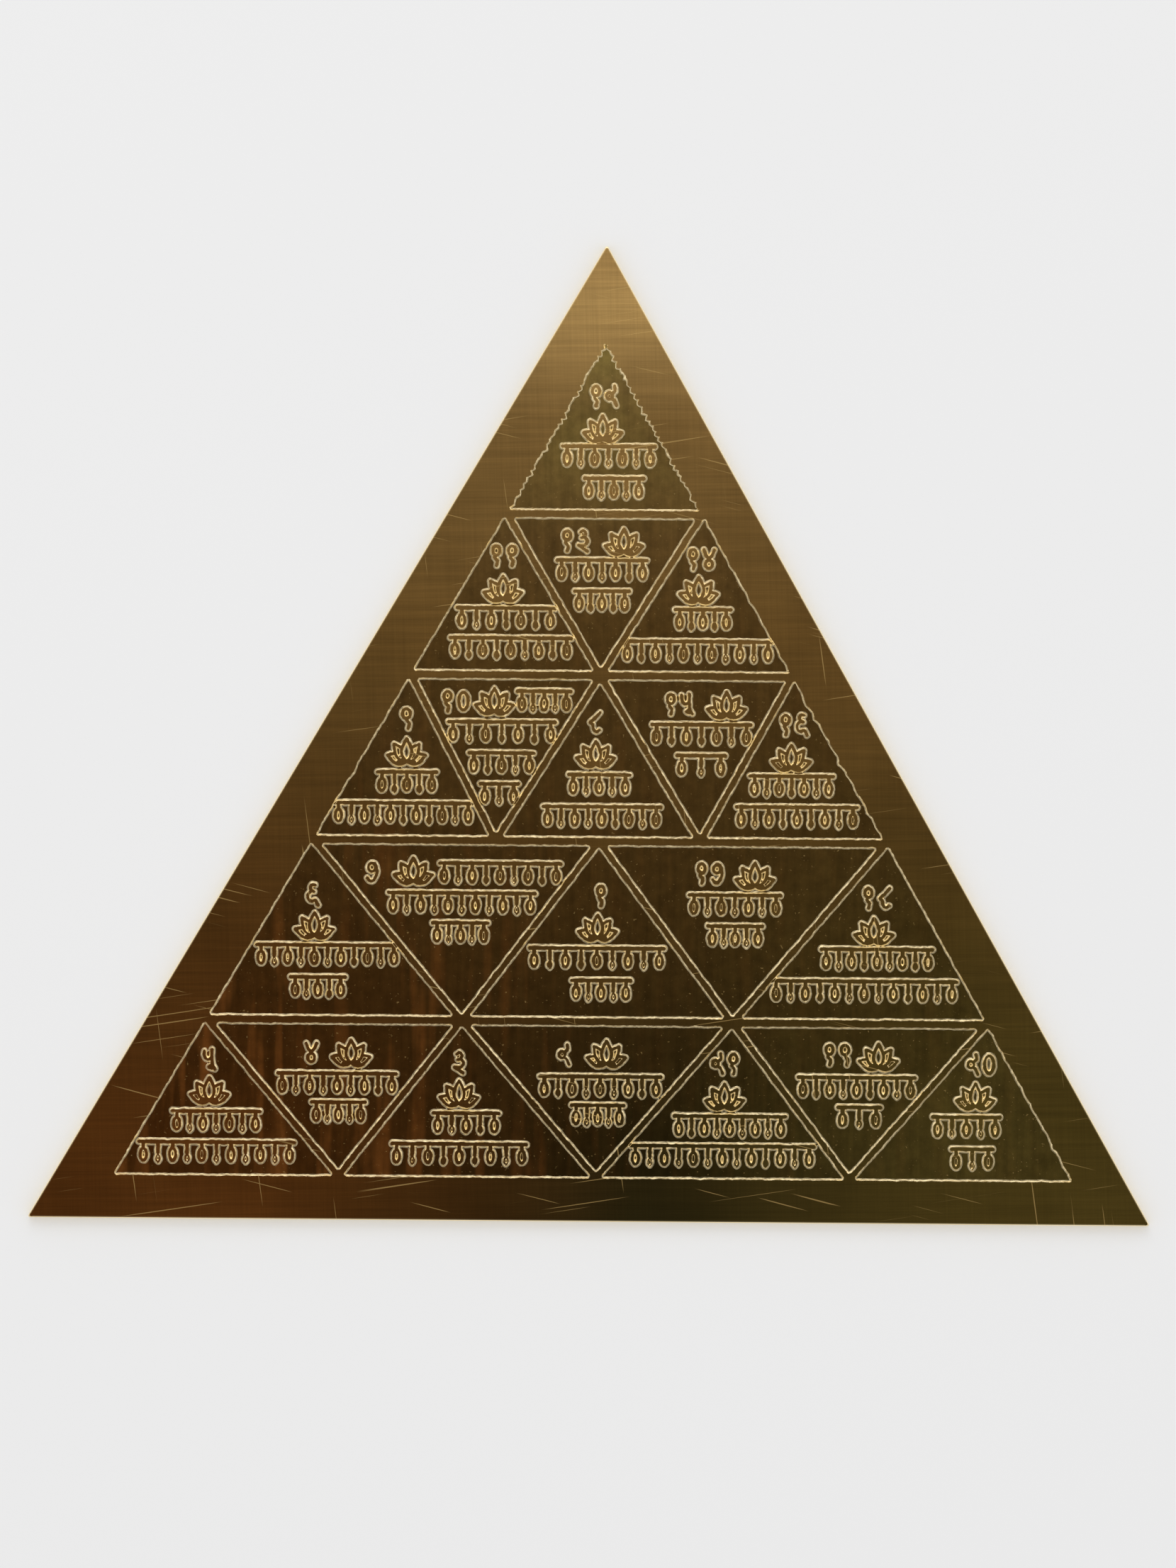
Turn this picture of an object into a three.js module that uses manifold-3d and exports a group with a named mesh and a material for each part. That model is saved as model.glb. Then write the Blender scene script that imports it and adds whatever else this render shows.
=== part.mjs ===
// A triangular yantra: one hand-cut brass sheet whose face is etched into 21 triangular cells.
// Millimetres. The flat back lies on z = 0, +Z leaves the etched face and +Y points to the apex.
// Places on the face are x from the middle of the base and y from the base.
import * as THREE from 'three';
import Module from 'manifold-3d';

const wasm = await Module();
wasm.setup();

// The sheet
const BASE = 101.6;
const HEIGHT = 88.38;
const APEX_X = 0.95; // cut by hand, so that the apex is a little off the middle
const THICK = 1.0;
const TIP_RADIUS = 0.15;
const EDGE_ROLL = 0.15; // the upper rim is burnished over
const EDGE_STEPS = 3;

// The etching
const ETCH = 0.16; // depth of the cells
const WALL = 0.19; // width of a cell's sloping wall, seen from above
const RIB_LEVEL = 0.8; // between the walls of two cells, across a level rib
const RIB_SLANT = 0.66;
const CELL_RADIUS = 0.3;
const CLEAR = 0.12; // least gap between a cell's wall and what stands in it
const STROKE = 0.34; // width of a raised line

// The cells: five rows, each with the height of its base line. apexes lie on the line above it, feet
// on the line itself. An upright cell hangs from each apex, and an inverted one stands on each foot
// between two of them. numbers run from left to right over both kinds.
const FIELD_TOP = 79.5;
const ROWS = [
  { y: 64.0, apexes: [0.93], feet: [-7.94, 9.79], numbers: [12] },
  { y: 49.4, apexes: [-7.94, 9.79], feet: [-16.48, 0.68, 18.05], numbers: [11, 13, 14] },
  {
    y: 34.4,
    apexes: [-16.48, 0.68, 18.05],
    feet: [-25.21, -8.69, 9.79, 26.64],
    numbers: [9, 10, 8, 15, 16],
  },
  {
    y: 18.1,
    apexes: [-25.21, 0.67, 26.64],
    feet: [-34.69, -11.62, 12.86, 35.87],
    numbers: [6, 7, 1, 17, 18],
  },
  {
    y: 4.0,
    apexes: [-34.69, -11.62, 12.86, 35.87],
    feet: [-42.95, -22.67, 0.63, 23.52, 43.74],
    numbers: [5, 4, 3, 2, 21, 19, 20],
  },
];

// What stands in each cell: a lotus by its foot, and hanging garlands as [left, right, top of the rail].
const ORNAMENTS = {
  1: { flower: [0.6, 25.7], rows: [[-5.5, 6.6, 24.9], [-1.7, 3.6, 22.0]] },
  2: { flower: [1.5, 14.3], rows: [[-4.5, 6.4, 13.3], [-1.6, 3.1, 10.7]] },
  3: { flower: [-11.8, 10.6], rows: [[-14.1, -8.2, 9.9], [-17.8, -5.7, 7.1]] },
  4: { flower: [-21.6, 14.2], rows: [[-28.2, -17.5, 13.4], [-25.1, -20.3, 10.8]] },
  5: { flower: [-34.4, 10.7], rows: [[-37.7, -29.8, 9.9], [-40.7, -26.7, 7.1]] },
  6: { flower: [-25.0, 25.7], rows: [[-30.2, -17.4, 25.0], [-27.1, -22.2, 22.1]] },
  7: { flower: [-16.1, 30.7], rows: [[-13.7, -2.8, 32.5], [-18.3, -5.1, 29.8], [-14.3, -9.3, 27.1]] },
  8: { flower: [0.3, 41.4], rows: [[-2.1, 3.4, 40.6], [-4.4, 6.2, 37.7]] },
  9: { flower: [-16.8, 41.5], rows: [[-19.4, -14.1, 40.7], [-23.3, -10.8, 37.9]] },
  10: {
    flower: [-8.9, 46.1],
    rows: [[-6.8, -2.0, 48.1], [-13.0, -3.4, 45.3], [-11.1, -5.3, 42.5], [-9.7, -7.1, 39.7]],
  },
  11: { flower: [-8.2, 56.3], rows: [[-12.3, -3.5, 55.6], [-12.9, -2.0, 52.9]] },
  12: { flower: [0.7, 70.8], rows: [[-2.9, 5.4, 70.3], [-0.9, 4.4, 67.4]] },
  13: { flower: [2.7, 60.6], rows: [[-3.3, 4.8, 60.0], [-1.7, 3.2, 57.2]] },
  14: { flower: [9.5, 56.3], rows: [[7.4, 12.4, 55.6], [2.7, 16.2, 52.7]] },
  15: { flower: [12.1, 45.9], rows: [[5.4, 14.3, 45.2], [7.7, 12.0, 42.4]] },
  16: { flower: [18.0, 41.2], rows: [[14.3, 21.8, 40.6], [13.1, 24.0, 37.8]] },
  17: { flower: [14.8, 30.5], rows: [[8.9, 17.1, 29.8], [10.6, 15.5, 27.0]] },
  18: { flower: [25.6, 25.6], rows: [[20.9, 30.9, 25.0], [16.4, 33.1, 22.1]] },
  19: { flower: [26.1, 14.2], rows: [[18.9, 29.4, 13.4], [22.5, 26.3, 10.7]] },
  20: { flower: [34.9, 10.7], rows: [[31.1, 37.1, 9.9], [32.8, 36.5, 7.0]] },
  21: { flower: [12.2, 10.5], rows: [[7.7, 17.7, 9.8], [3.8, 20.3, 7.1]] },
};
const PETAL = { length: 2.05, width: 0.95, fan: 36, count: 5, steps: 6 };
const DROP = { pitch: 1.28, ring: 1.85, bud: 1.45, width: 0.78, budWidth: 0.5, steps: 4 };

const BRASS = { plate: '#6a5230', relief: '#8c7144' };

const flat = (x, y) => new THREE.Vector2(x, y);
const cross = (a, b) => a.x * b.y - a.y * b.x;

// A polygon, anticlockwise, with side i (from corner i to the next) moved inwards by insets[i].
function inset(corners, insets) {
  const sides = corners.map((corner, i) => {
    const along = corners[(i + 1) % corners.length].clone().sub(corner).normalize();
    const from = corner.clone().addScaledVector(flat(-along.y, along.x), insets[i]);
    return { from, along };
  });
  return sides.map((side, i) => {
    const last = sides.at(i - 1);
    const reach = cross(side.from.clone().sub(last.from), side.along) / cross(last.along, side.along);
    return last.from.clone().addScaledVector(last.along, reach);
  });
}

const insetAll = (corners, by) => inset(corners, corners.map(() => by));

// A polygon with each corner turned into an arc of the same number of points.
function rounded(corners, radius, steps = 3) {
  return corners.flatMap((corner, i) => {
    const back = corners.at(i - 1).clone().sub(corner).normalize();
    const on = corners[(i + 1) % corners.length].clone().sub(corner).normalize();
    const half = Math.acos(back.dot(on)) / 2;
    const middle = back.clone().add(on).normalize().multiplyScalar(radius / Math.sin(half));
    const centre = corner.clone().add(middle);
    const start = corner.clone().addScaledVector(back, radius / Math.tan(half)).sub(centre);
    const turn = Math.PI - 2 * half;
    return Array.from({ length: steps + 1 }, (_, k) =>
      start.clone().rotateAround(flat(0, 0), (turn * k) / steps).add(centre));
  });
}

// A closed solid through rings of equally many points, each at its own height, from the bottom up.
function loft(rings) {
  const count = rings[0].points.length;
  const position = rings.flatMap(({ points, z }) => points.flatMap((p) => [p.x, p.y, z]));
  const index = [];
  for (let r = 0; r + 1 < rings.length; r += 1) {
    for (let i = 0; i < count; i += 1) {
      const a = r * count + i;
      const b = r * count + ((i + 1) % count);
      index.push(a, b, b + count, a, b + count, a + count);
    }
  }
  const top = (rings.length - 1) * count;
  for (const [a, b, c] of THREE.ShapeUtils.triangulateShape(rings[0].points, [])) {
    index.push(c, b, a, top + a, top + b, top + c);
  }
  return new wasm.Manifold(new wasm.Mesh({
    numProp: 3,
    vertProperties: new Float32Array(position),
    triVerts: new Uint32Array(index),
  }));
}

const FLOOR = THICK - ETCH;
const raise = (points) => loft([{ points, z: FLOOR }, { points, z: THICK }]);

// The corners of every cell at the middle of its walls. Only the sides shared with a neighbour are
// drawn in by half a rib, because the outer ones lie on the edge of the field.
function cells() {
  return ROWS.flatMap(({ y, apexes, feet, numbers }, r) => {
    const above = r ? ROWS[r - 1].y : FIELD_TOP;
    const level = RIB_LEVEL / 2;
    const slant = RIB_SLANT / 2;
    const last = apexes.length - 1;
    return numbers.map((number, k) => {
      const i = Math.floor(k / 2);
      const upright = k % 2 === 0;
      const nodes = upright
        ? [flat(feet[i], y), flat(feet[i + 1], y), flat(apexes[i], above)]
        : [flat(apexes[i + 1], above), flat(apexes[i], above), flat(feet[i + 1], y)];
      const insets = upright
        ? [r < ROWS.length - 1 ? level : 0, i < last ? slant : 0, i > 0 ? slant : 0]
        : [level, slant, slant];
      return { number, corners: inset(nodes, insets) };
    });
  });
}

// The sheet, with a rolled upper edge.
function blank() {
  const corners = [flat(-BASE / 2, 0), flat(BASE / 2, 0), flat(APEX_X, HEIGHT)];
  const rings = [{ points: rounded(corners, TIP_RADIUS), z: 0 }];
  for (let k = 0; k <= EDGE_STEPS; k += 1) {
    const turn = (k / EDGE_STEPS) * (Math.PI / 2);
    rings.push({
      points: rounded(insetAll(corners, EDGE_ROLL * (1 - Math.cos(turn))), TIP_RADIUS),
      z: THICK - EDGE_ROLL * (1 - Math.sin(turn)),
    });
  }
  return loft(rings);
}

// The acid's bite of one cell: a sloping wall down to the floor.
function pocket({ corners }) {
  const rim = rounded(insetAll(corners, -WALL / 2), CELL_RADIUS);
  const floor = rounded(insetAll(corners, WALL / 2), CELL_RADIUS);
  return loft([{ points: floor, z: FLOOR }, { points: rim, z: THICK }, { points: rim, z: THICK + 1 }]);
}

// A straight raised line of the stroke's width between two points.
function line(x1, y1, x2, y2) {
  const side = flat(y1 - y2, x2 - x1).normalize().multiplyScalar(STROKE / 2);
  return raise([
    flat(x1 - side.x, y1 - side.y),
    flat(x2 - side.x, y2 - side.y),
    flat(x2 + side.x, y2 + side.y),
    flat(x1 + side.x, y1 + side.y),
  ]);
}

// A leaf with its foot at a point, leaning by an angle from straight up, widest where bulge says.
function leaf(foot, length, width, angle, steps, bulge) {
  const edge = (k) => {
    const t = k / steps;
    return flat((width / 2) * Math.sin(Math.PI * t ** bulge), t * length);
  };
  const right = Array.from({ length: steps + 1 }, (_, k) => edge(k));
  const left = right.slice(1, -1).reverse().map((p) => flat(-p.x, p.y));
  return raise([...right, ...left].map((p) => p.rotateAround(flat(0, 0), angle).add(foot)));
}

// An open lotus seen from the side.
function lotus([x, y]) {
  return Array.from({ length: PETAL.count }, (_, k) => {
    const lean = k - (PETAL.count - 1) / 2;
    const length = PETAL.length * (1 - 0.09 * Math.abs(lean));
    const angle = THREE.MathUtils.degToRad(-lean * PETAL.fan);
    return leaf(flat(x, y), length, PETAL.width, angle, PETAL.steps, 0.8);
  });
}

// A level rail with drops hanging from it, rings and slimmer buds by turns, the same from both ends.
function garland([left, right, top]) {
  const span = right - left - DROP.width;
  const count = Math.max(1, 2 * Math.round(span / DROP.pitch / 2) + 1);
  const drops = Array.from({ length: count }, (_, k) => {
    const x = left + DROP.width / 2 + (count > 1 ? (span * k) / (count - 1) : span / 2);
    const [length, width] = k % 2 ? [DROP.bud, DROP.budWidth] : [DROP.ring, DROP.width];
    return leaf(flat(x, top - STROKE / 3), length, width, Math.PI, DROP.steps, 1.3);
  });
  return [line(left, top - STROKE / 2, right, top - STROKE / 2), ...drops];
}

// Everything raised in one cell, hung together by short strings so that it is one piece.
function relief({ number, corners }) {
  const { flower, rows } = ORNAMENTS[number];
  const parts = [...lotus(flower), ...rows.flatMap(garland)];
  const beside = rows[0][2] > flower[1]; // an inverted cell's first garland may hang beside the lotus
  const under = rows[beside ? 1 : 0];
  parts.push(line(flower[0], flower[1] + STROKE, flower[0], under[2] - STROKE));
  for (let k = 1; k < rows.length; k += 1) {
    const x = (Math.max(rows[k - 1][0], rows[k][0]) + Math.min(rows[k - 1][1], rows[k][1])) / 2;
    parts.push(line(x, rows[k - 1][2] - STROKE / 2, x, rows[k][2] - STROKE / 2));
  }
  const room = rounded(insetAll(corners, WALL / 2 + CLEAR), CELL_RADIUS);
  const kept = wasm.Manifold.union(parts).intersect(raise(room)).decompose();
  return kept.sort((a, b) => b.volume() - a.volume())[0]; // a crumb cut off by a wall is left out
}

function mesh(name, solid, colour, roughness) {
  const { vertProperties, triVerts } = solid.getMesh();
  const geometry = new THREE.BufferGeometry();
  geometry.setAttribute('position', new THREE.BufferAttribute(new Float32Array(vertProperties), 3));
  geometry.setIndex(new THREE.BufferAttribute(new Uint32Array(triVerts), 1));
  const material = new THREE.MeshStandardMaterial({ color: colour, roughness, metalness: 1 });
  material.flatShading = true;
  const made = new THREE.Mesh(geometry, material);
  made.name = name;
  return made;
}

const yantra = new THREE.Group();
yantra.name = 'mangal_yantra';
const all = cells();
const etched = blank().subtract(wasm.Manifold.union(all.map(pocket)));
yantra.add(mesh('plate', etched, BRASS.plate, 0.34));
for (const cell of all) {
  const name = `relief_${String(cell.number).padStart(2, '0')}`;
  yantra.add(mesh(name, relief(cell), BRASS.relief, 0.4));
}

// The middle of the sheet's box goes over the origin.
const { min, max } = etched.boundingBox();
yantra.position.set(-(min[0] + max[0]) / 2, -(min[1] + max[1]) / 2, 0);

export default yantra;
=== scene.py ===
"""A triangular etched brass yantra plate, dressed and lit as in the photograph.

The sheet's top, ribs and border are one piece, and each etched cell is a tile let into it: its
floor, its sloping walls and the ornament left proud. A tile's shape comes from one field, the
distance in millimetres to the nearest metal left unbitten, cut at a few distances from the edge.
"""
import math

import bpy
import numpy as np
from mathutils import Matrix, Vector
from mathutils.geometry import delaunay_2d_cdt


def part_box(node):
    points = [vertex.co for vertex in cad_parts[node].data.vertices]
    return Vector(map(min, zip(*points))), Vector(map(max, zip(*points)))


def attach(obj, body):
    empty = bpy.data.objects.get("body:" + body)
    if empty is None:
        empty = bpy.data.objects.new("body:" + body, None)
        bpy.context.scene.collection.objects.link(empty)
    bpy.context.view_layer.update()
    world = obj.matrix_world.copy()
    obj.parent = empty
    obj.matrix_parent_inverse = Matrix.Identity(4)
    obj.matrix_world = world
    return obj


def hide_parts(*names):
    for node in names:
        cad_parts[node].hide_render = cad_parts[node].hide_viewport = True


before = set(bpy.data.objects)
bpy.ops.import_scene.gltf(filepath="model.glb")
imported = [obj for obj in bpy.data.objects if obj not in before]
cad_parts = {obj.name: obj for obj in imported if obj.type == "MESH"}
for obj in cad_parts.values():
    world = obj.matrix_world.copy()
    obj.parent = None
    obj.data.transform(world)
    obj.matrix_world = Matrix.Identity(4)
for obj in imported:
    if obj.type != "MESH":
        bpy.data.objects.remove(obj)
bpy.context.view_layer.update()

MM = 0.001
LOW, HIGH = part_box("plate")
BASE_Y = LOW[1]  # the base line of the sheet; places on the face are counted from here
THICK = HIGH[2] / MM  # from here on, lengths are millimetres until a vertex is made

# The sheet, with the CAD's own sizes
BASE, HEIGHT, APEX_X = 101.6, 88.38, 0.95
TIP_RADIUS = 0.15
EDGE_ROLL, EDGE_STEPS = 0.15, 3

# The etching
ETCH = 0.16
WALL = 0.19
RIB_LEVEL, RIB_SLANT = 0.80, 0.66
CELL_RADIUS = 0.25
STROKE = 0.33
LOTUS_STROKE = 0.27
CLEAR = 0.22
# How far from the raised edge, and what share of the depth is reached there
PROFILE = ((0.0, 0.0), (0.05, 0.42), (0.11, 0.80), (0.20, 1.0))
GRID = 0.055
SMOOTHING = 0.007  # the most that an outline's straightened point moves
SPECK_AREA = 0.012
TILE_UNDER = THICK - 0.34
FACE_SLOT, EDGE_SLOT, BACK_SLOT = 0, 1, 2  # of the sheet's materials

FIELD_TOP = 79.5
# Height of each row's base line, the apexes on the line above, the feet on it, and the numbers
ROWS = (
    (64.0, (0.93,), (-7.94, 9.79), (12,)),
    (49.4, (-7.94, 9.79), (-16.48, 0.68, 18.05), (11, 13, 14)),
    (34.4, (-16.48, 0.68, 18.05), (-25.21, -8.69, 9.79, 26.64), (9, 10, 8, 15, 16)),
    (18.1, (-25.21, 0.67, 26.64), (-34.69, -11.62, 12.86, 35.87), (6, 7, 1, 17, 18)),
    (4.0, (-34.69, -11.62, 12.86, 35.87), (-42.95, -22.67, 0.63, 23.52, 43.74),
     (5, 4, 3, 2, 21, 19, 20)),
)
# In each cell: its numeral's middle, its lotus's foot, and its garlands as (left, right, top)
CONTENTS = {
    1: ((0.9, 29.5), (0.6, 25.7), (-5.5, 6.6, 24.9), (-1.7, 3.6, 22.0)),
    2: ((-2.3, 15.1), (1.5, 14.3), (-4.5, 6.4, 13.3), (-1.6, 3.1, 10.7)),
    3: ((-11.8, 14.3), (-11.8, 10.6), (-14.1, -8.2, 9.9), (-17.8, -5.7, 7.1)),
    4: ((-25.2, 15.1), (-21.6, 14.2), (-28.2, -17.5, 13.4), (-25.1, -20.3, 10.8)),
    5: ((-34.4, 14.4), (-34.4, 10.7), (-37.7, -29.8, 9.9), (-40.7, -26.7, 7.1)),
    6: ((-25.2, 29.4), (-25.0, 25.7), (-30.2, -17.4, 25.0), (-27.1, -22.2, 22.1)),
    7: ((-19.8, 31.5), (-16.1, 30.7), (-13.7, -2.8, 32.5), (-18.3, -5.1, 29.8),
        (-14.3, -9.3, 27.1)),
    8: ((0.2, 45.2), (0.3, 41.4), (-2.1, 3.4, 40.6), (-4.4, 6.2, 37.7)),
    9: ((-16.8, 45.4), (-16.8, 41.5), (-19.4, -14.1, 40.7), (-23.3, -10.8, 37.9)),
    10: ((-12.4, 47.0), (-8.9, 46.1), (-6.8, -2.0, 48.1), (-13.0, -3.4, 45.3),
         (-11.1, -5.3, 42.5), (-10.1, -6.7, 39.7)),
    11: ((-8.1, 60.2), (-8.2, 56.3), (-12.3, -3.5, 55.6), (-12.9, -2.0, 52.9)),
    12: ((0.8, 74.7), (0.7, 70.8), (-2.9, 5.4, 70.3), (-0.9, 4.4, 67.4)),
    13: ((-1.7, 61.6), (2.7, 60.6), (-3.3, 4.8, 60.0), (-1.7, 3.2, 57.2)),
    14: ((9.7, 60.0), (9.5, 56.3), (7.4, 12.4, 55.6), (2.7, 16.2, 52.7)),
    15: ((7.8, 46.9), (12.1, 45.9), (5.4, 14.3, 45.2), (7.7, 12.0, 42.4)),
    16: ((18.2, 45.1), (18.0, 41.2), (14.3, 21.8, 40.6), (13.1, 24.0, 37.8)),
    17: ((10.7, 31.6), (14.8, 30.5), (8.9, 17.1, 29.8), (10.6, 15.5, 27.0)),
    18: ((25.8, 29.5), (25.6, 25.6), (20.9, 30.9, 25.0), (16.4, 33.1, 22.1)),
    19: ((22.4, 15.3), (26.1, 14.2), (18.9, 29.4, 13.4), (22.5, 26.3, 10.7)),
    20: ((35.4, 14.5), (34.9, 10.7), (31.1, 37.1, 9.9), (32.8, 36.5, 7.0)),
    21: ((12.3, 14.4), (12.2, 10.5), (7.7, 17.7, 9.8), (3.8, 20.3, 7.1)),
}
# Cells whose sides the resist let go: (cell, side, depth of the notches, their pitch)
RAGGED = ((12, 1, 0.36, 0.66), (12, 2, 0.30, 0.70), (14, 1, 0.15, 1.9), (16, 1, 0.26, 1.6),
          (20, 1, 0.18, 1.8), (9, 2, 0.10, 2.0))

PETAL_LENGTH, PETAL_WIDTH, PETAL_FAN, PETALS = 2.05, 0.95, 36.0, 5
PETAL_SHORTER = 0.06  # share of the length lost by each petal out from the middle
SEAT_REACH, SEAT_DROP = 0.75, 0.02  # of the short line under a lotus
DROP_PITCH, DROP_LENGTH, DROP_WIDTH = 1.28, 1.85, 0.78
BUD_STEM, BUD_REACH = 0.62, 1.08  # shares of the drop's length
BUD_LENGTH, BUD_WIDTH, BUD_STROKE = 0.75, 0.34, 0.14
RING_TALL, RING_WIDE, RING_STROKE = 0.30, 0.36, 0.26  # radii by the drop's length and width
# How unevenly the acid left an edge: (height, wavelength) in millimetres
UNEVEN = ((0.014, 1.5), (0.009, 0.45))
MARGIN = 0.9  # of a cell's grid round its corners
OUTSIDE = -9.0  # the field's value where nothing is drawn
DIGIT_WIDTH, DIGIT_HEIGHT, DIGIT_GAP, DIGIT_STROKE = 1.12, 2.0, 0.30, 0.27
# Each digit's lines in a box one wide and one high: a path's points, or a ring's x, y and radii
DIGITS = (
    ((0.50, 0.50, 0.38, 0.40),),
    ((0.48, 0.72, 0.29, 0.21), ((0.40, 0.54), (0.36, 0.40), (0.56, 0.25), (0.50, 0.04))),
    ((0.30, 0.50, 0.24, 0.15), ((0.70, 0.95), (0.74, 0.72), (0.46, 0.60)),
     ((0.44, 0.38), (0.68, 0.30), (0.86, 0.06))),
    (((0.30, 0.88), (0.52, 0.95), (0.70, 0.83), (0.58, 0.68), (0.38, 0.63)),
     ((0.60, 0.68), (0.84, 0.50), (0.70, 0.32), (0.42, 0.27), (0.12, 0.30)),
     ((0.12, 0.28), (0.44, 0.18), (0.82, 0.03))),
    ((0.50, 0.28, 0.28, 0.19), ((0.08, 0.92), (0.28, 0.66), (0.50, 0.56), (0.72, 0.66),
                                (0.92, 0.92))),
    (((0.08, 0.88), (0.10, 0.66), (0.32, 0.50), (0.58, 0.54), (0.70, 0.66)),
     ((0.70, 0.95), (0.70, 0.60), (0.74, 0.28), (0.94, 0.06)), ((0.70, 0.26), (0.46, 0.16),
                                                                 (0.72, 0.10))),
    (((0.70, 0.93), (0.44, 0.94), (0.32, 0.80), (0.42, 0.68), (0.62, 0.63)),
     ((0.42, 0.67), (0.14, 0.50), (0.18, 0.28), (0.46, 0.20), (0.72, 0.24), (0.94, 0.02))),
    ((0.46, 0.70, 0.30, 0.19), ((0.78, 0.74), (0.86, 0.44), (0.62, 0.14), (0.34, 0.08),
                                (0.10, 0.22))),
    (((0.92, 0.93), (0.50, 0.66), (0.14, 0.48), (0.32, 0.40), (0.40, 0.18), (0.62, 0.06),
      (0.88, 0.14)),),
    ((0.46, 0.71, 0.32, 0.22), ((0.54, 0.50), (0.52, 0.40), (0.70, 0.26), (0.62, 0.04))),
)


def unit(v):
    return v / np.linalg.norm(v)


def inset(corners, insets):
    """An anticlockwise polygon with side i moved inwards by insets[i]."""
    corners = np.asarray(corners, float)
    along = [unit(np.roll(corners, -1, 0)[i] - corners[i]) for i in range(len(corners))]
    start = [corners[i] + insets[i] * np.array((-a[1], a[0])) for i, a in enumerate(along)]
    made = []
    for i in range(len(corners)):
        a, b = along[i - 1], along[i]
        gap = start[i] - start[i - 1]
        reach = (gap[0] * b[1] - gap[1] * b[0]) / (a[0] * b[1] - a[1] * b[0])
        made.append(start[i - 1] + reach * a)
    return np.array(made)


def cells():
    """{number: corners at the middle of the walls}; shared sides are drawn in by half a rib."""
    made, above = {}, FIELD_TOP
    for row, (y, apexes, feet, numbers) in enumerate(ROWS):
        last = len(apexes) - 1
        for k, number in enumerate(numbers):
            i, upright = k // 2, k % 2 == 0
            level, slant = RIB_LEVEL / 2, RIB_SLANT / 2
            if upright:
                nodes = [(feet[i], y), (feet[i + 1], y), (apexes[i], above)]
                shared = [level * (row < len(ROWS) - 1), slant * (i < last), slant * (i > 0)]
            else:
                nodes = [(apexes[i + 1], above), (apexes[i], above), (feet[i + 1], y)]
                shared = [level, slant, slant]
            made[number] = inset(nodes, shared)
        above = y
    return made


# Fields: positive inside metal, in millimetres from its edge


def to_segment(x, y, a, b):
    """Distance from points to a segment."""
    d = b - a
    t = ((x - a[0]) * d[0] + (y - a[1]) * d[1]) / max(d @ d, 1e-12)
    t = np.clip(t, 0, 1)
    return np.hypot(x - a[0] - t * d[0], y - a[1] - t * d[1])


def polygon_field(x, y, loops):
    """Signed distance to the edge of closed loops, positive inside them by the even-odd rule."""
    near, inside = np.full(x.shape, 1e9), np.zeros(x.shape, bool)
    for loop in loops:
        for a, b in zip(loop, np.roll(loop, -1, 0)):
            near = np.minimum(near, to_segment(x, y, a, b))
            if a[1] != b[1]:
                cross = a[0] + (y - a[1]) / (b[1] - a[1]) * (b[0] - a[0])
                inside ^= ((a[1] > y) != (b[1] > y)) & (x < cross)
    return np.where(inside, near, -near)


def stroke_field(x, y, path, width):
    near = np.full(x.shape, 1e9)
    for a, b in zip(path[:-1], path[1:]):
        near = np.minimum(near, to_segment(x, y, a, b))
    return width / 2 - near


class Canvas:
    """A grid over one cell on which raised metal is drawn."""

    def __init__(self, corners, seed):
        low, high = corners.min(0) - MARGIN, corners.max(0) + MARGIN
        self.x0, self.y0 = low
        nx, ny = (np.ceil((high - low) / GRID)).astype(int)
        self.x, self.y = np.meshgrid(low[0] + GRID * np.arange(nx), low[1] + GRID * np.arange(ny))
        self.rng = np.random.default_rng(seed)
        self.metal = np.full(self.x.shape, OUTSIDE)

    def window(self, points, margin=0.8):
        """The part of the grid round some points."""
        points = np.asarray(points)
        low = (points.min(0) - margin - (self.x0, self.y0)) / GRID
        high = (points.max(0) + margin - (self.x0, self.y0)) / GRID
        rows = slice(max(0, int(low[1])), max(0, int(high[1]) + 1))
        cols = slice(max(0, int(low[0])), max(0, int(high[0]) + 1))
        return rows, cols

    def stroke(self, path, width=STROKE, behind=None):
        """Draws a stroke; behind is a field in whose shapes it isn't seen."""
        path = np.asarray(path, float)
        at = self.window(path)
        field = stroke_field(self.x[at], self.y[at], path, width)
        if behind is not None:
            field = np.minimum(field, -behind[at])
        self.metal[at] = np.maximum(self.metal[at], field)

    def wobble(self, size, length, waves=22):
        """Smooth noise: size is its usual height and length its wavelength."""
        total = np.zeros(self.x.shape)
        for _ in range(waves):
            turn, phase = self.rng.uniform(0, 2 * np.pi, 2)
            k = 2 * np.pi / (length * self.rng.uniform(0.6, 1.6))
            total += np.sin(k * (np.cos(turn) * self.x + np.sin(turn) * self.y) + phase)
        return total * size * math.sqrt(2 / waves)


def room_field(canvas, number, corners):
    """Positive in the cell's open room, with the ragged sides that the bite left."""
    rim = inset(corners, [-WALL / 2] * 3)
    core = inset(rim, [CELL_RADIUS] * 3)
    field = polygon_field(canvas.x, canvas.y, [core]) + CELL_RADIUS
    sides = list(zip(rim, np.roll(rim, -1, 0)))
    apart = np.array([to_segment(canvas.x, canvas.y, a, b) for a, b in sides])
    nearest = apart.argmin(0)
    for cell, side, depth, pitch in RAGGED:
        if cell == number:
            a, b = sides[side]
            along = (canvas.x - a[0]) * unit(b - a)[0] + (canvas.y - a[1]) * unit(b - a)[1]
            saw = np.abs(((along + canvas.wobble(0.12, 3.0)) / pitch) % 1 - 0.5) * 2
            field -= np.where(nearest == side, depth * saw * (0.6 + canvas.wobble(0.3, 2.2)), 0)
    return field


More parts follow.
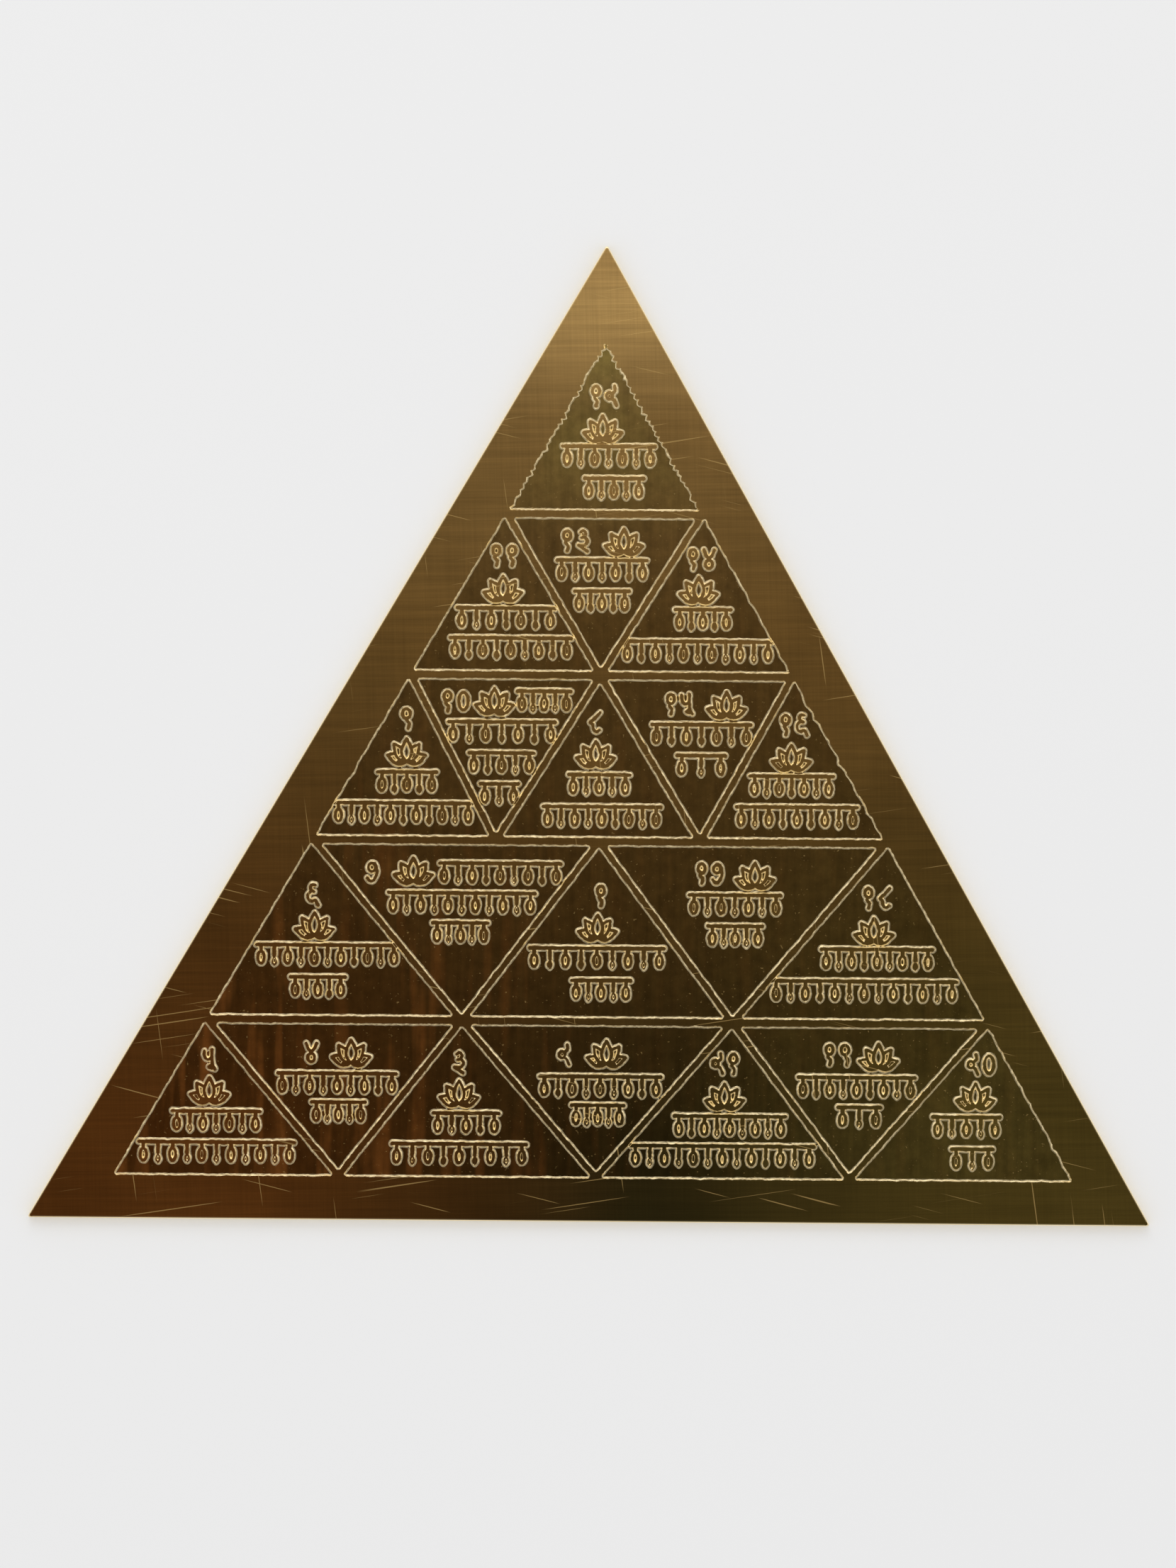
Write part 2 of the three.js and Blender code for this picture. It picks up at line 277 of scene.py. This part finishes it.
def leaf(foot, length, width, lean, steps=7):
    """A pointed leaf's outline from its foot, leaning by an angle in degrees from straight up."""
    t = np.arange(steps + 1) / steps
    half = width / 2 * np.sin(np.pi * t**0.8)
    right = np.column_stack((half, t * length))
    left = right[1:-1][::-1] * (-1, 1)
    outline = np.vstack((right, left))
    c, s = math.cos(math.radians(lean)), math.sin(math.radians(lean))
    return outline @ np.array(((c, s), (-s, c))) + foot


def ring(middle, rx, ry, steps=14):
    t = np.arange(steps + 1) / steps * 2 * np.pi
    return np.column_stack((middle[0] + rx * np.cos(t), middle[1] + ry * np.sin(t)))


def draw_lotus(canvas, foot):
    """An open lotus from the side: outlined petals, each hidden by those before it."""
    foot = np.array(foot)
    covered = np.full(canvas.x.shape, OUTSIDE)
    for k in sorted(range(PETALS), key=lambda k: abs(k - (PETALS - 1) / 2)):
        lean = k - (PETALS - 1) / 2
        length = PETAL_LENGTH * (1 - PETAL_SHORTER * abs(lean))
        petal = leaf(foot, length, PETAL_WIDTH, -lean * PETAL_FAN)
        canvas.stroke(np.vstack((petal, petal[:1])), LOTUS_STROKE, covered - LOTUS_STROKE / 2)
        covered = np.maximum(covered, polygon_field(canvas.x, canvas.y, [petal]))
    seat = [foot + (-SEAT_REACH, -SEAT_DROP), foot + (SEAT_REACH, -SEAT_DROP)]
    canvas.stroke(seat, LOTUS_STROKE)


def draw_garland(canvas, left, right, top):
    """A level rail with hanging rings and buds by turns, the same from both ends."""
    rail = top - STROKE / 2
    canvas.stroke([(left, rail), (right, rail)])
    span = right - left - DROP_WIDTH
    count = max(1, 2 * round(span / DROP_PITCH / 2) + 1)
    for k in range(count):
        x = left + DROP_WIDTH / 2 + (span * k / (count - 1) if count > 1 else span / 2)
        if k % 2:
            canvas.stroke([(x, rail), (x, top - DROP_LENGTH * BUD_STEM)])
            tip = (x, top - DROP_LENGTH * BUD_REACH)
            canvas.stroke(leaf(tip, BUD_LENGTH, BUD_WIDTH, 0), BUD_STROKE)
        else:
            tall, wide = DROP_LENGTH * RING_TALL, DROP_WIDTH * RING_WIDE
            canvas.stroke([(x, rail), (x, top - DROP_LENGTH + 2 * tall)])
            canvas.stroke(ring((x, top - DROP_LENGTH + tall), wide, tall), RING_STROKE)


def smooth(path, steps=4):
    """A path through the same points without corners (Catmull-Rom)."""
    path = np.asarray(path, float)
    ends = np.vstack((2 * path[0] - path[1], path, 2 * path[-1] - path[-2]))
    t = (np.arange(steps) / steps)[:, None]
    runs = []
    for p, q, r, s in zip(ends, ends[1:], ends[2:], ends[3:]):
        runs.append(((2 * q) + (r - p) * t + (2 * p - 5 * q + 4 * r - s) * t**2
                     + (3 * q - p - 3 * r + s) * t**3) / 2)
    return np.vstack((*runs, path[-1:]))


def draw_numeral(canvas, number, middle):
    """The number in plain Devanagari digits drawn by hand, with the pen's lines left proud."""
    text = str(number)
    step = DIGIT_WIDTH + DIGIT_GAP
    left = middle[0] - (step * len(text) - DIGIT_GAP) / 2
    for k, digit in enumerate(text):
        corner = np.array((left + k * step, middle[1] - DIGIT_HEIGHT / 2))
        size = np.array((DIGIT_WIDTH, DIGIT_HEIGHT))
        for line in DIGITS[int(digit)]:
            if isinstance(line[0], tuple):
                canvas.stroke(corner + smooth(line) * size, DIGIT_STROKE)
            else:
                x, y, rx, ry = line
                loop = ring((x, y), rx, ry)
                canvas.stroke(corner + loop * size, DIGIT_STROKE)


# Contours of a field, and solids from them

# For each pattern of corners above the level, the edges of a grid square that the outline runs
# from and to, with the metal on its left: bottom 0, right 1, top 2, left 3
RUNS = {1: ((0, 3),), 2: ((1, 0),), 4: ((2, 1),), 8: ((3, 2),), 3: ((1, 3),), 6: ((2, 0),),
        12: ((3, 1),), 9: ((0, 2),), 7: ((2, 3),), 11: ((1, 2),), 13: ((0, 1),), 14: ((3, 0),),
        5: ((0, 3), (2, 1)), 10: ((1, 0), (3, 2))}


def contours(field, x0, y0):
    """Closed loops of points where the field passes zero."""
    ny, nx = field.shape
    up = field > 0
    code = up[:-1, :-1] + 2 * up[:-1, 1:] + 4 * up[1:, 1:] + 8 * up[1:, :-1]
    rows, cols = np.nonzero((code > 0) & (code < 15))
    size = nx * ny
    onward = {}
    for j, i in zip(rows.tolist(), cols.tolist()):
        edges = (j * nx + i, size + j * nx + i + 1, (j + 1) * nx + i, size + j * nx + i)
        for a, b in RUNS[int(code[j, i])]:
            onward[edges[a]] = edges[b]

    def point(edge):
        j, i = divmod(edge % size, nx)
        a = field[j, i]
        if edge < size:
            return x0 + GRID * (i + a / (a - field[j, i + 1])), y0 + GRID * j
        return x0 + GRID * i, y0 + GRID * (j + a / (a - field[j + 1, i]))

    loops = []
    while onward:
        first = at = next(iter(onward))
        loop = []
        while at in onward:
            loop.append(point(at))
            at = onward.pop(at)
        if at == first:
            loops.append(np.array(loop))
    return loops


def area(loop):
    x, y = loop[:, 0], loop[:, 1]
    return 0.5 * float(np.sum(x * np.roll(y, -1) - np.roll(x, -1) * y))


def thinned(points):
    """The points of an open run that stay when none of the rest is more than SMOOTHING off."""
    keep = np.zeros(len(points), bool)
    keep[[0, -1]] = True
    work = [(0, len(points) - 1)]
    while work:
        a, b = work.pop()
        if b - a < 2:
            continue
        off = to_segment(points[a + 1:b, 0], points[a + 1:b, 1], points[a], points[b])
        far = int(off.argmax())
        if off[far] > SMOOTHING:
            keep[a + 1 + far] = True
            work += [(a, a + 1 + far), (a + 1 + far, b)]
    return keep


def simplified(loop):
    far = int(np.hypot(*(loop - loop[0]).T).argmax())
    whole = np.vstack((loop, loop[:1]))
    keep = np.concatenate((thinned(whole[:far + 1])[:-1], thinned(whole[far:])[:-1]))
    return loop[keep]


def tile_mesh(name, field, x0, y0):
    """A cell's closed tile, and the outline of its rim."""
    points, heights, edges, rim = [], [], [], None
    for off, share in PROFILE:
        loops = [simplified(loop) for loop in contours(field + off, x0, y0)
                 if abs(area(loop)) > SPECK_AREA]
        loops = [loop for loop in loops if len(loop) > 2]
        if rim is None:
            loops.sort(key=lambda loop: -abs(area(loop)))
            rim = loops[0]
        for loop in loops:
            first = len(points)
            count = len(loop)
            points += [Vector(p) for p in loop]
            heights += [THICK - ETCH * share] * count
            edges += [(first + k, first + (k + 1) % count) for k in range(count)]
    around = list(range(len(rim)))[::1 if area(rim) > 0 else -1]
    made, _, faces, came, _, inside = delaunay_2d_cdt(points, edges, [around], 0, 1e-6, True)
    faces = [face for face, owner in zip(faces, inside) if owner]
    vertices = [(p.x, p.y, heights[came[k][0]] if came[k] else THICK) for k, p in enumerate(made)]
    where = {tuple(round(c, 5) for c in p): k for k, p in enumerate(made)}
    top_rim = [where[tuple(round(float(c), 5) for c in Vector(p))] for p in rim]
    if area(rim) < 0:
        top_rim.reverse()
    under = len(vertices)
    vertices += [(vertices[k][0], vertices[k][1], TILE_UNDER) for k in top_rim]
    count = len(top_rim)
    for k in range(count):
        on = (k + 1) % count
        faces.append([top_rim[on], top_rim[k], under + k, under + on])
    base = [vertices[k][:2] for k in top_rim]
    faces += [[under + k for k in reversed(face)] for face in filled(base)]
    return solid(name, vertices, faces), np.array([vertices[k][:2] for k in top_rim])


def filled(*loops):
    """Triangles that fill the first loop but not the others, all wound anticlockwise."""
    rims, first = [], 0
    for loop in loops:
        rims.append(list(range(first, first + len(loop))))
        first += len(loop)
    flat = [Vector(p) for loop in loops for p in loop]
    _, _, faces, came, _, inside = delaunay_2d_cdt(flat, [], rims, 1, 1e-6, True)
    return [tuple(came[k][0] for k in face) for face, rim in zip(faces, inside) if rim == [0]]


def solid(name, vertices, faces):
    """A piece from points of the face in millimetres."""
    mesh = bpy.data.meshes.new(name)
    mesh.from_pydata([(x * MM, BASE_Y + y * MM, z * MM) for x, y, z in vertices], [], faces)
    mesh.validate()
    mesh.update()
    piece = bpy.data.objects.new(name, mesh)
    bpy.context.scene.collection.objects.link(piece)
    return piece


def rounded(corners, radius, steps=3):
    points = []
    for i, corner in enumerate(corners):
        back, on = unit(corners[i - 1] - corner), unit(corners[(i + 1) % len(corners)] - corner)
        half = math.acos(back @ on) / 2
        centre = corner + unit(back + on) * radius / math.sin(half)
        start = corner + back * radius / math.tan(half) - centre
        for k in range(steps + 1):
            turn = (math.pi - 2 * half) * k / steps
            c, s = math.cos(turn), math.sin(turn)
            points.append(centre + (c * start[0] - s * start[1], s * start[0] + c * start[1]))
    return np.array(points)


def sheet(holes):
    """The sheet with its rolled edge, and a pocket below each tile."""
    corners = np.array(((-BASE / 2, 0), (BASE / 2, 0), (APEX_X, HEIGHT)))
    rings = [(rounded(corners, TIP_RADIUS), 0.0)]
    for k in range(EDGE_STEPS + 1):
        turn = k / EDGE_STEPS * math.pi / 2
        drawn = inset(corners, [EDGE_ROLL * (1 - math.cos(turn))] * 3)
        rings.append((rounded(drawn, TIP_RADIUS), THICK - EDGE_ROLL * (1 - math.sin(turn))))
    vertices = [(*p, z) for ring_points, z in rings for p in ring_points]
    count, faces = len(rings[0][0]), []
    for r in range(len(rings) - 1):
        for i in range(count):
            a, b = r * count + i, r * count + (i + 1) % count
            faces.append((a, b, b + count, a + count))
    rolled_faces = len(faces)
    faces.append(tuple(reversed(range(count))))
    top = [k + (len(rings) - 1) * count for k in range(count)]
    loops, index = [rings[-1][0]], list(top)
    for hole in holes:
        first = len(vertices)
        size = len(hole)
        vertices += [(*p, THICK) for p in hole] + [(*p, TILE_UNDER) for p in hole]
        loops.append(hole)
        index += range(first, first + size)
        for k in range(size):
            on = (k + 1) % size
            faces.append((first + k, first + on, first + size + on, first + size + k))
        faces += [tuple(first + size + k for k in face) for face in filled(hole)]
    faces += [tuple(index[k] for k in face) for face in filled(*loops)]
    piece = solid("etched_sheet", vertices, faces)
    piece.data.polygons.foreach_set("material_index", [
        EDGE_SLOT if k < rolled_faces else BACK_SLOT if k == rolled_faces else FACE_SLOT
        for k in range(len(faces))])
    return piece


class Nodes:
    """Short calls for building one node tree."""

    def __init__(self, tree):
        self.tree = tree
        tree.nodes.clear()

    def add(self, kind, **values):
        node = self.tree.nodes.new(kind)
        for name, value in values.items():
            setattr(node, name, value)
        return node

    def put(self, socket, value):
        if isinstance(value, bpy.types.NodeSocket):
            self.tree.links.new(value, socket)
        else:
            socket.default_value = value

    def math(self, kind, *values):
        node = self.add("ShaderNodeMath", operation=kind)
        for socket, value in zip(node.inputs, values):
            self.put(socket, value)
        return node.outputs[0]

    def parts(self, vector):
        node = self.add("ShaderNodeSeparateXYZ")
        self.put(node.inputs[0], vector)
        return node.outputs

    def scaled(self, colour, by):
        node = self.add("ShaderNodeVectorMath", operation="SCALE")
        plain = not isinstance(colour, bpy.types.NodeSocket)
        self.put(node.inputs[0], colour[:3] if plain else colour)
        self.put(node.inputs["Scale"], by)
        return node.outputs[0]

    def shades(self, value, stops):
        """A colour that runs through stops of (place, colour)."""
        node = self.add("ShaderNodeValToRGB")
        self.put(node.inputs[0], value)
        marks = node.color_ramp.elements
        while len(marks) < len(stops):
            marks.new(0.5)
        for mark, (place, _) in zip(marks, stops):
            mark.position = place
        for mark, (_, colour) in zip(marks, stops):
            mark.color = (*colour, 1)
        return node.outputs[0]

    def mix(self, share, a, b):
        node = self.add("ShaderNodeMix", data_type="RGBA")
        for socket, value in zip((node.inputs[0], node.inputs[6], node.inputs[7]), (share, a, b)):
            self.put(socket, value)
        return node.outputs[2]

    def ramp(self, value, low, high):
        """0 at low, 1 at high."""
        node = self.add("ShaderNodeMapRange")
        for socket, given in zip(node.inputs, (value, low, high, 0.0, 1.0)):
            self.put(socket, given)
        return node.outputs[0]

    def noise(self, where, scale, detail=3.0, rough=0.5):
        node = self.add("ShaderNodeTexNoise")
        self.put(node.inputs["Vector"], where)
        for name, value in (("Scale", scale), ("Detail", detail), ("Roughness", rough)):
            self.put(node.inputs[name], value)
        return node.outputs[0]

    def stretched(self, where, scale, turn=0.0):
        node = self.add("ShaderNodeMapping", vector_type="TEXTURE")
        self.put(node.inputs["Vector"], where)
        node.inputs["Scale"].default_value = [1 / s for s in scale]
        node.inputs["Rotation"].default_value = (0, 0, math.radians(turn))
        return node.outputs[0]


# The sheet's colour up its height, with painted shade darkest at the base and a painted highlight
# near the apex, and the red and olive tones of its lower corners
HEIGHT_TONE_AND_PAINTED_LIGHT = ((0.00, (0.024, 0.0175, 0.0050)), (0.08, (0.032, 0.0205, 0.0055)),
          (0.30, (0.084, 0.0440, 0.0105)), (0.60, (0.140, 0.0740, 0.0190)),
          (0.82, (0.235, 0.1340, 0.0400)), (0.94, (0.480, 0.2950, 0.1000)),
          (1.00, (0.400, 0.2400, 0.0800)))
RED_SHADE, OLIVE_SHADE = (0.088, 0.030, 0.0058, 1), (0.072, 0.047, 0.0098, 1)
RED_BITE, GREEN_BITE = (0.190, 0.062, 0.0120, 1), (0.230, 0.170, 0.0420, 1)
# the painted highlight on the sloping walls of the etched cells
WALL_PAINTED_HIGHLIGHT = (0.96, 0.79, 0.47, 1)
SCRATCH_SHADE = (0.52, 0.34, 0.12, 1)
# the rolled edge's colour, a painted highlight
EDGE_PAINTED_HIGHLIGHT = (0.62, 0.36, 0.11)
BRUSH_DEPTH, NICK_DEPTH = 0.010, 0.03
# Scratches in three directions: (stretch, turn in degrees, how much of the noise is a scratch)
SCRATCHES = (((60, 5200, 60), 9.0, 0.73), ((85, 4600, 60), -14.0, 0.74),
             ((4300, 70, 60), 8.0, 0.75))


def brushed(name, tone, bitten=True):
    """Aged brass: brushed and scratched where it is raised, streaked and mottled where bitten,
    with painted shade and a painted highlight up its height and, where bitten, a painted
    highlight on the sloping walls.
    """
    material = bpy.data.materials.new(name)
    material.use_nodes = True
    n = Nodes(material.node_tree)
    where = n.add("ShaderNodeTexCoord").outputs["Object"]
    x, y, z = n.parts(where)
    tilt = n.math("ABSOLUTE", n.parts(n.add("ShaderNodeNewGeometry").outputs["True Normal"])[2])
    # 1 on flat faces, 0 on sloping walls, which get the painted highlight
    level = n.ramp(tilt, 0.86, 0.985)
    raised = n.ramp(z, (THICK - 0.9 * ETCH) * MM, (THICK - 0.3 * ETCH) * MM) if bitten else 1.0

    climb = n.ramp(y, BASE_Y, BASE_Y + HEIGHT * MM)
    low = n.ramp(climb, 0.55, 0.10)
    left = n.math("MULTIPLY", n.ramp(x, 0.004, -0.030), low)
    right = n.math("MULTIPLY", n.ramp(x, 0.006, 0.034), low)
    # painted shade towards the base and a painted highlight near the apex, tinted red and olive
    # in the lower corners
    tone_and_painted_light = n.mix(left, n.shades(climb, HEIGHT_TONE_AND_PAINTED_LIGHT), RED_SHADE)
    tone_and_painted_light = n.mix(right, tone_and_painted_light, OLIVE_SHADE)

    fine = n.noise(n.stretched(where, (120, 8200, 60), 1.5), 1.0, 3.0, 0.6)
    brush = n.noise(n.stretched(where, (45, 1700, 60), 0.5), 1.0, 4.0, 0.65)
    cross = n.noise(n.stretched(where, (5200, 90, 60), 2.0), 1.0, 2.0, 0.6)
    cloud = n.noise(where, 70.0, 4.0, 0.55)
    wear = n.math("MULTIPLY", n.math("MULTIPLY_ADD", fine, 0.42, 0.79),
                  n.math("MULTIPLY_ADD", brush, 0.60, 0.70))
    wear = n.math("MULTIPLY", wear, n.math("MULTIPLY_ADD", cross, 0.30, 0.85))
    wear = n.math("MULTIPLY", wear, n.math("MULTIPLY_ADD", cloud, 0.80, 0.60))
    face = n.scaled(tone_and_painted_light, n.math("MULTIPLY", wear, tone))
    lines = []
    for scale, turn, cut in SCRATCHES:
        line = n.noise(n.stretched(where, scale, turn), 1.0, 1.0, 0.4)
        lines.append(n.ramp(line, cut, cut + 0.03))
    scratch = n.math("MAXIMUM", n.math("MAXIMUM", lines[0], lines[1]), lines[2])
    face = n.mix(n.math("MULTIPLY", scratch, 0.55), face, SCRATCH_SHADE)
    colour = face
    if bitten:
        streak = n.noise(n.stretched(where, (1500, 75, 60)), 1.0, 3.0, 0.6)
        mottle = n.noise(where, 950.0, 4.0, 0.6)
        run = n.ramp(n.noise(n.stretched(where, (620, 60, 60)), 1.0, 2.0, 0.5), 0.50, 0.72)
        floor = n.scaled(tone_and_painted_light, 0.62)
        red = n.math("MULTIPLY_ADD", left, 0.75, 0.05)
        floor = n.mix(n.math("MULTIPLY", run, red), floor, RED_BITE)
        high = n.math("MULTIPLY", n.ramp(climb, 0.70, 0.88), 0.85)
        green = n.math("MULTIPLY_ADD", right, 0.14, high)
        floor = n.mix(n.math("MULTIPLY", green, n.ramp(cloud, 0.3, 0.6)), floor, GREEN_BITE)
        dapple = n.math("MULTIPLY", n.math("MULTIPLY_ADD", streak, 0.7, 0.65),
                        n.math("MULTIPLY_ADD", mottle, 0.9, 0.55))
        floor = n.scaled(floor, dapple)
        speck = n.ramp(n.noise(where, 4200.0, 2.0, 0.5), 0.69, 0.76)
        floor = n.mix(n.math("MULTIPLY", speck, 0.35), floor, SCRATCH_SHADE)
        # sloping walls take the painted highlight; flat parts show the raised face or the bitten
        # floor
        colour = n.mix(level, WALL_PAINTED_HIGHLIGHT, n.mix(raised, floor, face))

    shader = n.add("ShaderNodeBsdfPrincipled")
    n.put(shader.inputs["Base Color"], colour)
    shader.inputs["Metallic"].default_value = 1.0
    rough = n.math("MULTIPLY_ADD", fine, 0.14, n.math("MULTIPLY_ADD", cloud, 0.10, 0.20))
    n.put(shader.inputs["Roughness"], rough)
    bump = n.add("ShaderNodeBump")
    height = n.math("ADD", fine, n.math("MULTIPLY", cross, 0.7))
    n.put(bump.inputs["Height"], n.math("SUBTRACT", height, n.math("MULTIPLY", scratch, 0.8)))
    bump.inputs["Distance"].default_value = BRUSH_DEPTH * MM
    bump.inputs["Strength"].default_value = 0.5
    n.put(shader.inputs["Normal"], bump.outputs[0])
    n.put(n.add("ShaderNodeOutputMaterial").inputs[0], shader.outputs[0])
    return material


def rolled(name, colour):
    """The burnished edge, coloured brighter than the face as a painted highlight, and nicked
    along its length.
    """
    material = bpy.data.materials.new(name)
    material.use_nodes = True
    n = Nodes(material.node_tree)
    where = n.add("ShaderNodeTexCoord").outputs["Object"]
    nick = n.noise(where, 900.0, 3.0, 0.6)
    shader = n.add("ShaderNodeBsdfPrincipled")
    n.put(shader.inputs["Base Color"], n.scaled(colour, n.math("MULTIPLY_ADD", nick, 1.1, 0.4)))
    shader.inputs["Metallic"].default_value = 1.0
    n.put(shader.inputs["Roughness"], n.math("MULTIPLY_ADD", nick, 0.25, 0.18))
    bump = n.add("ShaderNodeBump")
    n.put(bump.inputs["Height"], nick)
    bump.inputs["Distance"].default_value = NICK_DEPTH * MM
    n.put(shader.inputs["Normal"], bump.outputs[0])
    n.put(n.add("ShaderNodeOutputMaterial").inputs[0], shader.outputs[0])
    return material


def dress(obj, *materials):
    obj.data.materials.clear()
    for material in materials:
        obj.data.materials.append(material)


sheet_brass = brushed("sheet_brass", 1.0)
relief_brass = brushed("relief_brass", 1.2)
back_brass = brushed("back_brass", 1.3, bitten=False)
# the rolled edge, with its painted highlight
edge_painted_highlight_brass = rolled("edge_painted_highlight_brass", EDGE_PAINTED_HIGHLIGHT)

holes = []
for number, corners in cells().items():
    canvas = Canvas(corners, seed=number)
    room = room_field(canvas, number, corners)
    numeral, lotus, *garlands = CONTENTS[number]
    draw_numeral(canvas, number, numeral)
    draw_lotus(canvas, lotus)
    for garland in garlands:
        draw_garland(canvas, *garland)
    proud = np.minimum(canvas.metal, room - CLEAR)
    field = np.maximum(proud, -room)
    for height, length in UNEVEN:
        field = field + canvas.wobble(height, length)
    tile, rim = tile_mesh(f"cell_{number:02d}", field, canvas.x0, canvas.y0)
    holes.append(rim)
    dress(tile, relief_brass)
    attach(tile, "root")
    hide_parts(f"relief_{number:02d}")

body = sheet(holes)
dress(body, sheet_brass, edge_painted_highlight_brass, back_brass)
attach(body, "root")
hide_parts("plate")

# The floor, the light and the camera
FLOOR_HALF, FLOOR_Z = 1.5, -0.02 * MM
FLOOR_SHADE = (0.97, 0.97, 0.97, 1)
mesh = bpy.data.meshes.new("floor")
signs = ((-1, -1), (1, -1), (1, 1), (-1, 1))
square = [(a * FLOOR_HALF, b * FLOOR_HALF, FLOOR_Z) for a, b in signs]
mesh.from_pydata(square, [], [(0, 1, 2, 3)])
ground = bpy.data.objects.new("floor", mesh)
bpy.context.scene.collection.objects.link(ground)
pale = bpy.data.materials.new("pale_floor")
pale.use_nodes = True
n = Nodes(pale.node_tree)
matt = n.add("ShaderNodeBsdfDiffuse")
matt.inputs["Color"].default_value = FLOOR_SHADE
n.put(n.add("ShaderNodeOutputMaterial").inputs[0], matt.outputs[0])
dress(ground, pale)

# What the brass mirrors: a plain room, a little lighter low down and towards the apex
ROOM_LEVEL, LOW_LEVEL, APEX_LEVEL = 0.92, 0.1, 0.7
world = bpy.data.worlds.new("studio")
bpy.context.scene.world = world
world.use_nodes = True
n = Nodes(world.node_tree)
path = n.add("ShaderNodeLightPath")
_, towards_apex, upwards = n.parts(n.add("ShaderNodeTexCoord").outputs["Generated"])
side = n.ramp(upwards, 0.93, 0.35)
high = n.ramp(towards_apex, -0.3, 0.9)
lift = n.math("MULTIPLY", side, n.math("MULTIPLY_ADD", high, APEX_LEVEL, LOW_LEVEL))
glow = n.math("ADD", ROOM_LEVEL, lift)
plain = n.add("ShaderNodeBackground")
plain.inputs["Strength"].default_value = 1.0
seen = n.add("ShaderNodeBackground")
n.put(seen.inputs["Strength"], glow)
both = n.add("ShaderNodeMixShader")
n.put(both.inputs[0], path.outputs["Is Glossy Ray"])
n.put(both.inputs[1], plain.outputs[0])
n.put(both.inputs[2], seen.outputs[0])
n.put(n.add("ShaderNodeOutputWorld").inputs[0], both.outputs[0])

LAMP_POWER, LAMP_SIZE = 0.6, 0.4
LAMP_AT, LAMP_TURN = (-0.12, 0.55, 0.5), (-48, 0, -10)
lamp = bpy.data.lights.new("softbox", "AREA")
lamp.energy, lamp.size = LAMP_POWER, LAMP_SIZE
softbox = bpy.data.objects.new("softbox", lamp)
bpy.context.scene.collection.objects.link(softbox)
softbox.location = LAMP_AT
softbox.rotation_euler = [math.radians(turn) for turn in LAMP_TURN]

LENS, SENSOR = 135.0, 36.0
PICTURE_HEIGHT = 141.8 * MM  # of the plate's plane, over the picture's long side
CENTRE_X, CENTRE_Y = -0.37, 39.59  # the place on the face that the picture's middle shows
ROLL = 0.47
camera = bpy.data.cameras.new("camera")
camera.lens, camera.sensor_width = LENS, SENSOR
camera.clip_start, camera.clip_end = 0.05, 10
eye = bpy.data.objects.new("camera", camera)
bpy.context.scene.collection.objects.link(eye)
distance = PICTURE_HEIGHT * LENS / SENSOR
eye.location = (CENTRE_X * MM, BASE_Y + CENTRE_Y * MM, THICK * MM + distance)
eye.rotation_euler = (0, 0, math.radians(ROLL))
scene = bpy.context.scene
scene.camera = eye
scene.view_settings.view_transform = "Standard"
